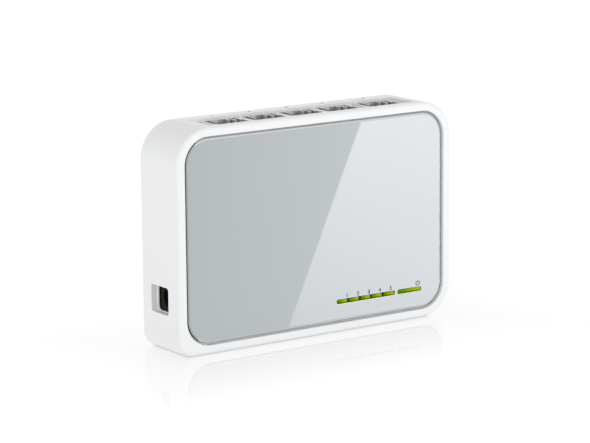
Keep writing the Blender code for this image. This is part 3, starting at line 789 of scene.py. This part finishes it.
def housing():
    layers = []
    for inset, depth in case_section():
        in_recess = depth < WEB_BACK and inset > WALL + 2 * RIM_BEVEL
        heel = CASE_CORNER if in_recess else HEEL_CORNER
        outline = rounded(*front_corners(CASE_LOW, CASE_HIGH), CASE_CORNER, inset, heel=heel)
        layers.append((outline, depth))
    case = layered("moulded_housing", "y", layers, CASE_WHITE)
    case_posts(case)
    port_bay(case)
    left = CASE_LOW.x
    for name, change, size, corner, start, end in (
        ("power_pad", weld, POWER_PAD, POWER_CORNER, left + WALL / 2, POWER_PAD_BACK),
        ("power_opening", cut, POWER_OPENING, POWER_CORNER, left - BEYOND, left + POWER_DEPTH),
        ("power_lip", cut, POWER_LIP, POWER_LIP_CORNER, left, POWER_PAD_BACK + FIT_GAP),
    ):
        outline = rounded(*centred(size, POWER_CENTRE), corner, steps=SMALL_STEPS)
        change(case, prisms(name, "x", [outline], start, end))
    first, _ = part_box("link_light_guide_1")
    _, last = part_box("power_light_guide")
    across, up = WINDOW_MARGIN
    window = rounded((first.x - across, first.z - up), (last.x + across, last.z + up), WINDOW_CORNER)
    cut(case, prisms("light_window", "y", [window], WEB_FRONT - FIT_GAP, WEB_BACK + FIT_GAP))
    settle(case, CUT_EDGE)
    fit(case, BODY, "white_case", "front_housing")


def face_panel():
    """The glossy panel: its edge is clear plastic, cut at a slant all round, with painted highlight and
    painted shade on its facets by the way they face.
    """
    low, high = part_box("face_panel")
    corner = CASE_CORNER - (low.z - CASE_LOW.z)
    width, depth = PANEL_CHAMFER
    section = [
        (PANEL_BACK_EDGE, high.y), (0.0, high.y - PANEL_BACK_EDGE), (0.0, low.y + depth + PANEL_SHOULDER),
        (PANEL_SHOULDER, low.y + depth), (width - PANEL_NICK, low.y + 0.6 * PANEL_NICK),
        (width + PANEL_NICK, low.y),
    ]
    layers = [(rounded(*front_corners(low, high), corner, inset), y) for inset, y in section]
    panel = layered("gloss_panel", "y", layers, PANEL_GREY)
    for finish in (CLEAR_EDGE, PANEL_EDGE_HIGHLIGHT, SHADED_EDGE):
        panel.data.materials.append(finish)
    # Painted highlight and shade by facing: slanted facets that face left keep the clear tone and the rest
    # get the painted highlight; side facets that face left get painted shade and the rest the clear tone.
    for face in panel.data.polygons:
        behind = face.center.y - low.y
        if behind > depth:
            face.material_index = 3 if face.normal.x < -0.35 else 1
        elif behind > 0.3 * PANEL_NICK:
            face.material_index = 1 if face.normal.x < -0.3 else 2
    slots = [capsule(*slot_box(*nodes)) for nodes in SLOTS]
    cut(panel, prisms("light_slots", "y", slots, low.y - BEYOND, high.y + BEYOND))
    settle(panel)
    fit(panel, BODY, "face_panel", "face_panel")


def slot_box(first, last, grow=0.0):
    """The slot round a row of light guides, in X and Z."""
    low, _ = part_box(first)
    _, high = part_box(last)
    reach = SLOT_CLEARANCE + grow
    return (low.x - reach, low.z - reach), (high.x + reach, high.z + reach)


def slot_outlines():
    """The pale printed lines round the two light slots."""
    panel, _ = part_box("face_panel")
    front, back = panel.y - INK, panel.y + OUTLINE_DEPTH
    solid = bmesh.new()
    for nodes in SLOTS:
        outer = capsule(*slot_box(*nodes, OUTLINE_WIDTH))
        inner = capsule(*slot_box(*nodes, OUTLINE_START))
        add_layers(solid, "y", [(outer, back), (outer, front), (inner, front), (inner, back)], True)
    fit(new_object("slot_outlines", solid, PALE_INK), BODY, "face_panel")


def lettering(text, size, matrix, name):
    """One short text as a thin mesh."""
    curve = bpy.data.curves.new(name, "FONT")
    curve.body = text
    curve.size = size
    curve.align_x = "CENTER"
    curve.extrude = INK
    curve.offset = NUMERAL_WEIGHT * size
    curve.resolution_u = 4
    guide = put_in_scene(name + "_guide", curve)
    mesh = final_mesh(guide)
    mesh.transform(matrix)
    bpy.data.objects.remove(guide, do_unlink=True)
    return mesh


def numerals(name, size, finish, slot, turn, place_of):
    """The numbers of the ports, each at its own place, in one mesh."""
    solid = bmesh.new()
    for number in range(1, PORT_COUNT + 1):
        matrix = Matrix.Translation(place_of(number)) @ turn
        mesh = lettering(str(number), size, matrix, f"{name}_{number}")
        solid.from_mesh(mesh)
        bpy.data.meshes.remove(mesh)
    bmesh.ops.remove_doubles(solid, verts=solid.verts, dist=SAME_POINT)
    obj = new_object(name, solid, finish)
    obj.data.shade_flat()
    fit(obj, BODY, slot)


def panel_numerals():
    """Numerals over the link lights."""
    front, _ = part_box("face_panel")
    low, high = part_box("link_light_guide_1")
    start = (low.x + high.x) / 2 + NUMERAL_PLACE[0]

    def place_of(number):
        return Vector((start + NUMERAL_PITCH * (number - 1), front.y, high.z + NUMERAL_PLACE[1]))

    upright = Matrix.Rotation(math.radians(90), 4, "X")
    numerals("light_numerals", NUMERAL_SIZE, GREY_INK, "face_panel", upright, place_of)


def port_numerals():
    """Small numerals beside the sockets on the rear rim, read from behind."""
    centres = port_centres()

    def place_of(number):
        return Vector((centres[number - 1] + PORT_NUMERAL_PLACE[0], PORT_NUMERAL_PLACE[1], CASE_HIGH.z))

    about = Matrix.Rotation(math.radians(180), 4, "Z")
    numerals("port_numerals", PORT_NUMERAL_SIZE, DARK_INK, "white_case", about, place_of)


def power_mark():
    """A ring that is open at the top, with a short bar in the opening."""
    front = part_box("face_panel")[0].y
    _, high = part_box("power_light_guide")
    centre = (high.x + MARK_PLACE[0], high.z + MARK_PLACE[1])
    turns = [math.radians(90 + MARK_OPENING + (360 - 2 * MARK_OPENING) * step / 24) for step in range(25)]
    ring = arc(centre, MARK_RADIUS, turns) + arc(centre, MARK_RADIUS - MARK_WIDTH, turns)[::-1]
    half = MARK_WIDTH / 2
    bar_low = (centre[0] - half, centre[1] + MARK_BAR_START)
    bar = rectangle(bar_low, (centre[0] + half, centre[1] + MARK_RADIUS))
    mark = prisms("power_mark", "y", [ring, bar], front - INK, front + INK, GREY_INK)
    mark.data.shade_flat()
    fit(mark, BODY, "face_panel")


def back_cover():
    low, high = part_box("back_cover")
    margin = low.x - CASE_LOW.x
    layers = []
    corner, heel = CASE_CORNER - margin, HEEL_CORNER - margin
    for inset, depth in (
        (0.0, low.y), (0.0, high.y - COVER_EDGE), (COVER_TURN, high.y - COVER_TURN), (COVER_EDGE, high.y),
    ):
        layers.append((rounded(*front_corners(low, high), corner, inset, heel=heel), depth))
    cover = layered("vented_cover", "y", layers, CASE_WHITE)
    vents = []
    for i in range(VENTS):
        centre = (VENT_PITCH * (i - (VENTS - 1) / 2), VENT_Z)
        vents.append(rounded(*centred(VENT_SIZE, centre), VENT_SIZE[0] / 2 - JOG, steps=VENT_STEPS))
    label = front_corners(*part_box("rating_label"))
    for name, outlines, depth in (
        ("vents", vents, low.y - BEYOND),
        ("shank_holes", [circle(place, SHANK_RADIUS + 2 * FIT_GAP) for place in SCREWS], low.y - BEYOND),
        ("screw_recesses", [circle(place, HEAD_RADIUS + FIT_GAP) for place in SCREWS], HEAD_FLOOR),
        ("foot_pockets", [circle(place, FOOT_RADIUS + FIT_GAP) for place in FEET], FOOT_FLOOR),
        ("label_recess", [rounded(*label, LABEL_CORNERS[1], -FIT_GAP, SMALL_STEPS)], LABEL_FLOOR),
    ):
        cut(cover, prisms(name, "y", outlines, depth, high.y + BEYOND))
    settle(cover, RECESS_EDGE)
    fit(cover, BODY, "white_case", "back_cover")


def rating_label():
    low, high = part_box("rating_label")
    outline = rounded(*front_corners(low, high), LABEL_CORNERS[0], steps=SMALL_STEPS)
    label = prisms("blank_label", "y", [outline], low.y, high.y - LABEL_SUNK, LABEL_FILM)
    settle(label, LABEL_EDGE)
    fit(label, BODY, "label", "rating_label")


def rubber_feet():
    """Feet with a round edge and a shallow dish."""
    dish_edge, dish_floor, dish_depth = FOOT_DISH
    for number, place in enumerate(FEET, 1):
        low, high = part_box(f"rubber_foot_{number}")
        radius = (high.x - low.x) / 2
        start, top = radius - FOOT_EDGE, high.y - FOOT_EDGE
        profile = [(radius, low.y)]
        profile += [(start + FOOT_EDGE * c, top + FOOT_EDGE * s) for s, c in quarter()]
        profile += [(radius - dish_edge, high.y), (radius - dish_floor, high.y - dish_depth)]
        foot = turned(f"foot_{number}", "y", place, profile, RUBBER_GREY, 64)
        settle(foot)
        fit(foot, BODY, "rubber", f"rubber_foot_{number}")


def case_screws():
    """Round-headed screws with a cross recess."""
    dome = HEAD_DOME * HEAD_HEIGHT
    for number, place in enumerate(SCREWS, 1):
        low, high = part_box(f"case_screw_{number}")
        radius = (high.x - low.x) / 2
        flat = HEAD_DOME * radius
        neck = high.y - HEAD_HEIGHT
        profile = [(SHANK_POINT * SHANK_RADIUS, low.y), (SHANK_RADIUS, low.y + SHANK_RADIUS)]
        profile += [(SHANK_RADIUS, neck), (radius, neck + JOG)]
        profile += [(flat + (radius - flat) * c, high.y - dome + dome * s) for s, c in quarter()]
        screw = turned(f"cross_screw_{number}", "y", place, profile, STEEL)
        arm, width = 2 * CROSS_ARM, 2 * CROSS_HALF_WIDTH
        for i, size in enumerate(((arm, width), (width, arm))):
            slot = rectangle(*centred(size, place))
            cut(screw, prisms(f"cross_{number}_{i}", "y", [slot], high.y - CROSS_DEPTH, high.y + BEYOND))
        settle(screw, HEAD_EDGE)
        fit(screw, BODY, "steel", f"case_screw_{number}")


# The sockets.


def port_centres():
    centres = []
    for number in range(1, PORT_COUNT + 1):
        low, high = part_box(f"port_{number}_contacts")
        centres.append((low.x + high.x) / 2)
    return centres


def wire_centres(x):
    return [x + WIRE_PITCH * (wire - (WIRE_COUNT - 1) / 2) for wire in range(WIRE_COUNT)]


def socket_outline(x):
    """The mouth of one socket from above: a wide slot with a stepped notch for the latch."""
    right = [(x + SOCKET_WIDTH / 2, SOCKET_FRONT), (x + SOCKET_WIDTH / 2, SOCKET_BACK)]
    floor_line = SOCKET_BACK
    for width, reach in LATCH_STEPS:
        right += [(x + width / 2, floor_line), (x + width / 2, reach)]
        floor_line = reach
    return right + [(2 * x - u, v) for u, v in reversed(right)]


def jack(name, node, ports):
    low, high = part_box(node)
    body = block(name, low, high, JACK_GREY)
    mouth = high.z
    beyond = mouth + BEYOND
    edge = SOCKET_FRONT + FIT_GAP
    half, side = POCKET_WIDTH / 2, GROOVE[0] / 2
    sockets = [socket_outline(x) for x in ports]
    pockets = [rectangle((x - half, POCKET_FRONT), (x + half, edge)) for x in ports]
    grooves = []
    wells = []
    for x in ports:
        for wire in wire_centres(x):
            grooves.append(rectangle((wire - side, POCKET_FRONT + GROOVE[1]), (wire + side, edge)))
        for left, right in WELL_SIDES:
            wells.append(rectangle((x + left * MM, WELL_FRONT), (x + right * MM, WELL_BACK)))
    cut(body, prisms(name + "_sockets", "z", sockets, mouth - SOCKET_DEPTH, beyond))
    for i, well in enumerate(wells):
        cut(body, prisms(f"{name}_well_{i}", "z", [well], mouth - WELL_DEPTH, beyond))
    for kind, outlines, roof in (("_pockets", pockets, POCKET_ROOF), ("_grooves", grooves, 0.0)):
        cut(body, prisms(name + kind, "z", outlines, mouth - POCKET_DEPTH, mouth - POCKET_LIP - roof))
    settle(body, JACK_EDGE)
    # Painted shade: the faces sunk inside the sockets take the darker copy of the jack grey.
    body.data.materials.append(JACK_SHADED)
    for face in body.data.polygons:
        place = face.center
        sunk = mouth - place.z > 0.5 * JACK_EDGE
        inside = min(place.x - low.x, high.x - place.x, place.y - low.y, high.y - place.y, place.z - low.z)
        face.material_index = int(sunk and inside > JACK_SKIN)
    fit(body, BODY, "jack_plastic", node)


def add_strip(solid, x, path, width, thickness):
    """A flat wire along a path of (y, z) points, centred on x."""
    rings = []
    for i, (y, z) in enumerate(path):
        before = path[max(i - 1, 0)]
        after = path[min(i + 1, len(path) - 1)]
        along = Vector((after[0] - before[0], after[1] - before[1])).normalized()
        side = Vector((along.y, -along.x)) * thickness / 2
        ring = []
        for u, sign in ((-width / 2, -1), (width / 2, -1), (width / 2, 1), (-width / 2, 1)):
            ring.append(solid.verts.new((x + u, y + sign * side.x, z + sign * side.y)))
        rings.append(ring)
    join_rings(solid, rings)


def port_contacts():
    """Eight gilt wires and their bar: each bends away from the hinge and turns in at its tip."""
    for number, centre in enumerate(port_centres(), 1):
        low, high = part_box(f"port_{number}_contacts")
        top = high.z - WIRE_TOP_DROP
        fall_y, fall_z = high.y - WIRE_TIP[0] - WIRE_HINGE_Y, low.z + WIRE_TIP[1] - top
        path = [(WIRE_HINGE_Y, top)]
        for step in range(1, WIRE_STEPS + 1):
            share = step / WIRE_STEPS
            bow = WIRE_BOW * math.sin(math.pi * share)
            path.append((WIRE_HINGE_Y + fall_y * share + bow, top + fall_z * share))
        solid = bmesh.new()
        for x in wire_centres(centre):
            add_strip(solid, x, path, WIRE_WIDTH, WIRE_THICKNESS)
        wires = new_object(f"socket_wires_{number}", solid, GOLD)
        half = (high.x - low.x) / 2
        bar = circle((WIRE_HINGE_Y, top), WIRE_BAR / 2, 16)
        weld(wires, prisms(f"bar_{number}", "x", [bar], centre - half, centre + half))
        settle(wires, WIRE_EDGE, 1)
        fit(wires, f"port_{number}_spring", "contact_metal", f"port_{number}_contacts")


def power_socket():
    """The black inlet: a flared bore round the pin, with a slot below for the leaf."""
    low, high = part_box("power_socket")
    pin_low, pin_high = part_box("power_pin")
    leaf_low, leaf_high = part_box("power_spring")
    body = block("inlet_body", low, high, INLET_BLACK)
    mouth = low.x
    bore = [
        (POWER_MOUTH, mouth - POWER_FLARE), (POWER_MOUTH, mouth), (POWER_BORE, mouth + POWER_FLARE),
        (POWER_BORE, mouth + POWER_BORE_DEPTH),
    ]
    cut(body, turned("inlet_bore", "x", POWER_CENTRE, bore))
    radius = (pin_high.y - pin_low.y) / 2
    hole = [(radius + FIT_GAP, mouth + PIN_HOLE_START), (radius + FIT_GAP, high.x + BEYOND)]
    cut(body, turned("inlet_pin_hole", "x", POWER_CENTRE, hole))
    slot_start = (mouth + LEAF_SLOT_START, leaf_low.y - FIT_GAP)
    slot = rectangle(slot_start, (leaf_high.x + FIT_GAP, leaf_high.y + FIT_GAP))
    slot_top = POWER_CENTRE[1] - LEAF_SLOT_TOP * POWER_BORE
    cut(body, prisms("leaf_slot", "z", [slot], low.z - BEYOND, slot_top))
    settle(body, POWER_EDGE)
    fit(body, BODY, "black_plastic", "power_socket")

    tip, length = PIN_POINT
    profile = [(tip * radius, pin_low.x)]
    profile += [(radius * s, pin_low.x + length * radius * (1 - c)) for s, c in quarter()[1:]]
    pin = turned("inlet_pin", "x", POWER_CENTRE, profile + [(radius, pin_high.x)], GOLD, 32)
    settle(pin)
    fit(pin, BODY, "contact_metal", "power_pin")


def power_leaf():
    """The sprung leaf below the pin: it rises from its inner end and dips again at its tip."""
    low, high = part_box("power_spring")
    half = LEAF_THICKNESS / 2
    hinge_x, foot_z = high.x - LEAF_INSET, low.z + LEAF_SPARE
    rise = high.z - low.z - 2 * LEAF_SPARE
    layers = []
    for step in range(LEAF_STEPS + 1):
        share = step / LEAF_STEPS
        lift = rise * math.sin(math.radians(90) * min(share / LEAF_CREST, 1.0))
        lift -= LEAF_DIP * rise * max(share - LEAF_CREST, 0) / (1 - LEAF_CREST)
        x, z = hinge_x - (hinge_x - low.x) * share, foot_z + lift
        layers.append((rectangle((low.y, z - half), (high.y, z + half)), x))
    leaf = settle(layered("inlet_leaf", "x", layers, GOLD), LEAF_EDGE, 1)
    fit(leaf, "power_leaf", "contact_metal", "power_spring")


# The lights.


def light_guides():
    """Clear bars with softly domed fronts."""
    lenses = [
        (f"link_light_guide_{number}", f"link_lens_{number}", number == 1, number == PORT_COUNT, LINK_GLOW)
        for number in range(1, PORT_COUNT + 1)
    ]
    lenses.append(("power_light_guide", "power_lens", True, True, POWER_GLOW))
    for node, name, round_low, round_high, glow in lenses:
        low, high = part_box(node)
        outline = capsule(*front_corners(low, high), round_low, round_high)
        lens = prisms(name, "y", [outline], low.y, high.y, glow)
        settle(lens, LENS_EDGE, 4)
        fit(lens, BODY, "light_guide", node)


# Inner parts that keep their CAD shape.


def finish_inner_parts():
    link_diodes = [f"link_light_diode_{number}" for number in range(1, PORT_COUNT + 1)]
    transformers = ["port_transformer_1_2", "port_transformer_3_4", "port_transformer_5"]
    for finish, names in (
        (BOARD_GREEN, ["circuit_board"]),
        (INLET_BLACK, ["light_guide_holder"]),
        (EPOXY_BLACK, ["switch_chip", "power_inductor", "power_regulator"] + transformers),
        (STEEL, ["clock_crystal", "capacitor_1", "capacitor_2"]),
        (CLEAR_DIODE, ["power_light_diode"] + link_diodes),
    ):
        for name in names:
            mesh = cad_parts[name].data
            mesh.materials.clear()
            mesh.materials.append(finish)


# Stage, light and camera.


def finish_stage(tree, shader):
    end = add_node(tree, "OutputMaterial")
    tree.links.new(shader.outputs[0], end.inputs["Surface"])


def floor():
    """A white floor whose shine fades away from the foot of the case."""
    made, tree = bare_material("white_floor")
    place = position(tree)
    away = calculate(tree, "MAXIMUM", *(
        calculate(tree, "DIVIDE", minus(tree, calculate(tree, "ABSOLUTE", place[side]), edge), reach)
        for side, edge, reach in (
            ("X", CASE_HIGH.x, abs(math.sin(AZIMUTH))), ("Y", -CASE_LOW.y, math.cos(AZIMUTH))
        )
    ))
    fade = add_node(
        tree, "MapRange", Value=away, From_Min=0.0, From_Max=SHINE_REACH, To_Min=1.0, To_Max=0.0
    )
    closeness = add_node(tree, "AmbientOcclusion", Distance=CONTACT_REACH)
    hidden = minus(tree, 1.0, closeness.outputs["AO"])
    open_share = minus(tree, 1.0, times(tree, hidden, CONTACT_SHADE))
    seen_directly = add_node(tree, "LightPath").outputs["Is Camera Ray"]
    level = plus(tree, times(tree, seen_directly, SURROUND - FLOOR_BOUNCE), FLOOR_BOUNCE)
    glow = add_node(tree, "Emission", Strength=times(tree, level, open_share))
    shine = add_node(tree, "BsdfGlossy", Roughness=FLOOR_ROUGHNESS)
    both = add_node(tree, "MixShader", Fac=times(tree, fade.outputs["Result"], FLOOR_SHINE))
    tree.links.new(glow.outputs[0], both.inputs[1])
    tree.links.new(shine.outputs[0], both.inputs[2])
    finish_stage(tree, both)
    corners = rectangle((-FLOOR_HALF, -FLOOR_HALF), (FLOOR_HALF, FLOOR_HALF))
    obj = flat_face("floor", [(x, y, 0.0) for x, y in corners], made)
    obj.visible_glossy = False


def surround():
    """White all round; it lights the object most from the front and the horizon."""
    world = bpy.data.worlds.new("white_surround")
    bpy.context.scene.world = world
    world.use_nodes = True
    tree = world.node_tree
    background = tree.nodes["Background"].inputs
    background["Color"].default_value = (1.0, 1.0, 1.0, 1.0)
    place = position(tree, "Generated")
    height = calculate(tree, "MAXIMUM", place["Z"], 0.0)
    dim_above = minus(tree, SKY_LEVEL, times(tree, height, SKY_FALL))
    soft = plus(tree, dim_above, times(tree, place["Y"], -FRONT_GAIN))
    lighting = add_node(tree, "LightPath").outputs["Is Diffuse Ray"]
    feed(tree, background["Strength"], mix(tree, "FLOAT", {0: lighting, 2: SURROUND, 3: soft}, 0))


def soft_screen(eye):
    """Two joined screens in the plane where the panel's mirror image of the camera looks."""
    panel_low, panel_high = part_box("face_panel")
    plane = panel_low.y
    mirrored = Vector((eye.x, 2 * plane - eye.y, eye.z))

    def behind(x, z):
        """Where the ray from the mirrored camera through a panel point meets the screen."""
        ray = Vector((x, plane, z)) - mirrored
        return mirrored + ray * (plane - SCREEN_DISTANCE - mirrored.y) / ray.y

    bottom, top = panel_low.z - SCREEN_MARGIN, panel_high.z + SCREEN_MARGIN
    left, right = panel_low.x - SCREEN_MARGIN, panel_high.x + SCREEN_MARGIN
    slope = (SHEEN_TOP[0] - SHEEN_BOTTOM[0]) / (SHEEN_TOP[1] - SHEEN_BOTTOM[1])
    edge_bottom, edge_top = (SHEEN_BOTTOM[0] + slope * (z - SHEEN_BOTTOM[1]) for z in (bottom, top))
    ends = behind(left, bottom), behind(right, top)
    for name, lower, upper, rows in (
        ("plain_screen", (left, edge_bottom), (left, edge_top), PLAIN_ROWS),
        ("bright_screen", (edge_bottom, right), (edge_top, right), BRIGHT_ROWS),
    ):
        corners = [behind(x, bottom) for x in lower] + [behind(x, top) for x in reversed(upper)]
        screen = flat_face(name, corners, screen_light(name, rows, *ends))
        for use in ("camera", "diffuse", "transmission", "shadow"):
            setattr(screen, "visible_" + use, False)


def screen_light(name, rows, low, high):
    """Light that changes evenly from corner to corner of the screen."""
    made, tree = bare_material(name)
    place = position(tree)
    across, up = (
        calculate(tree, "DIVIDE", minus(tree, place[side], start), end - start, clamp=True)
        for side, start, end in (("X", low.x, high.x), ("Z", low.z, high.z))
    )
    lower_left, lower_right, upper_left, upper_right = rows
    lower = plus(tree, times(tree, across, lower_right - lower_left), lower_left)
    upper = plus(tree, times(tree, across, upper_right - upper_left), upper_left)
    rise = times(tree, minus(tree, upper, lower), up)
    finish_stage(tree, add_node(tree, "Emission", Strength=plus(tree, lower, rise)))
    return made


def camera():
    """Looks down a little on the front and the left end."""
    back = Vector((
        math.sin(AZIMUTH) * math.cos(ELEVATION), -math.cos(AZIMUTH) * math.cos(ELEVATION), math.sin(ELEVATION)
    ))
    level = Vector((math.cos(AZIMUTH), math.sin(AZIMUTH), 0.0))
    upright = back.cross(level)
    right = math.cos(ROLL) * level - math.sin(ROLL) * upright
    up = math.sin(ROLL) * level + math.cos(ROLL) * upright
    data = bpy.data.cameras.new("camera")
    data.lens = LENS
    data.clip_start = 0.01
    data.clip_end = 20.0
    eye = put_in_scene("camera", data)
    place = AIM + back * DISTANCE
    eye.matrix_world = Matrix.Translation(place) @ Matrix((right, up, back)).transposed().to_4x4()
    bpy.context.scene.camera = eye
    return place


def studio():
    bpy.context.scene.view_settings.view_transform = "Standard"
    floor()
    surround()
    soft_screen(camera())


housing()
face_panel()
slot_outlines()
panel_numerals()
power_mark()
port_numerals()
back_cover()
rating_label()
rubber_feet()
case_screws()
centres = port_centres()
jack("ganged_sockets", "four_port_jack", centres[:4])
jack("single_socket", "fifth_port_jack", centres[4:])
port_contacts()
power_socket()
power_leaf()
light_guides()
finish_inner_parts()
studio()
